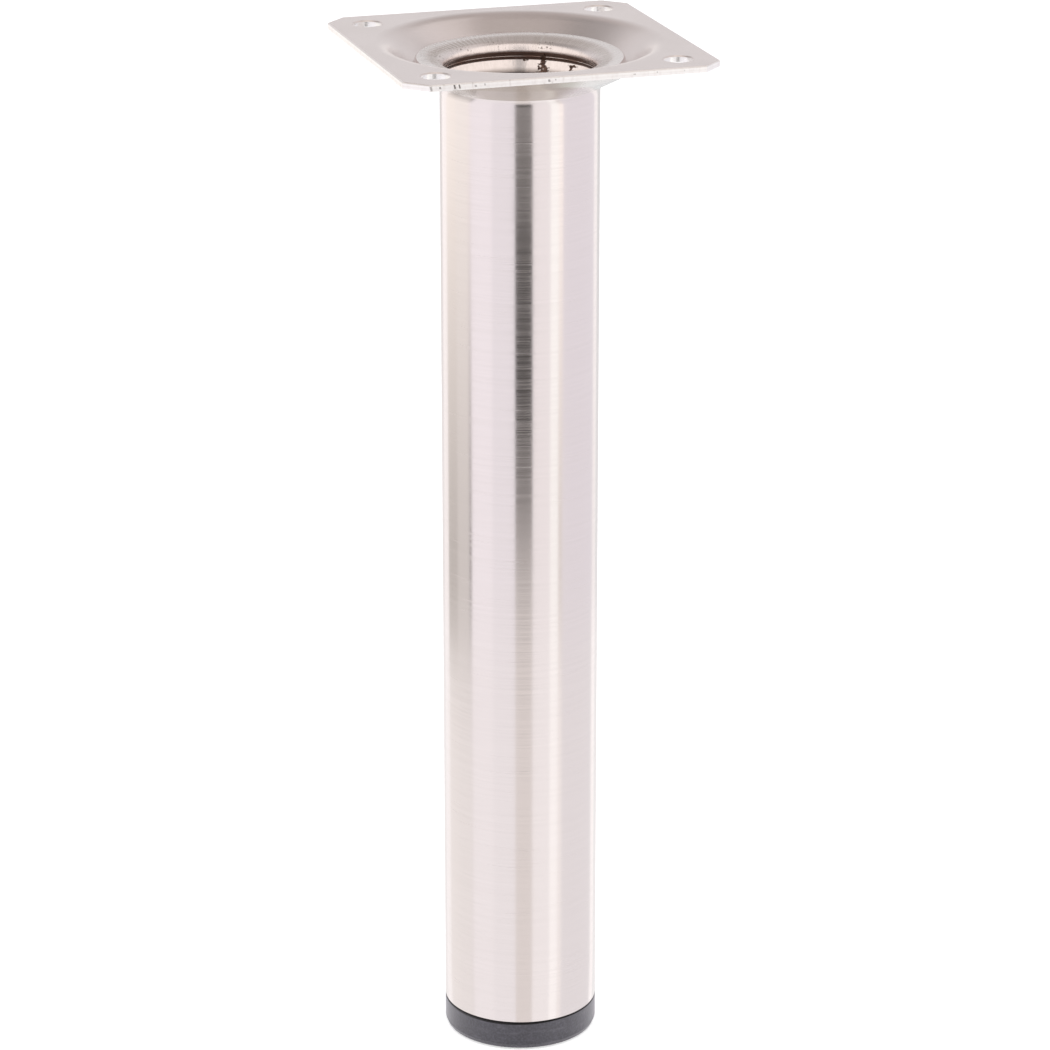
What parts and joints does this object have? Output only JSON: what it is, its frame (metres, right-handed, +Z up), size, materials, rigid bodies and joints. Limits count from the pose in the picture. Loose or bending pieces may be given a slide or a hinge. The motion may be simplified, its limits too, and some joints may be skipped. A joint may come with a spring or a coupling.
{
  "type": "furniture leg",
  "caption": "Round brushed-metal furniture leg: a tube flared into a dished square mounting plate with screw holes, with a plastic foot plug at its lower end.",
  "frame": {"origin": "on the floor at the middle of the foot plug's underside", "axes": "+Z up along the tube to the mounting face; +X and +Y along the sides of the plate"},
  "size_m": [0.06, 0.06, 0.2],
  "materials": {
    "tube_metal": "fine brushing round the tube, nickel look",
    "plate_metal": "satin nickel look",
    "foot_plastic": "fine matt grain"
  },
  "bodies": {
    "root": {"leg_tube": "tube_metal", "mounting_plate": "plate_metal", "foot_plug": "foot_plastic"}
  },
  "joints": []
}
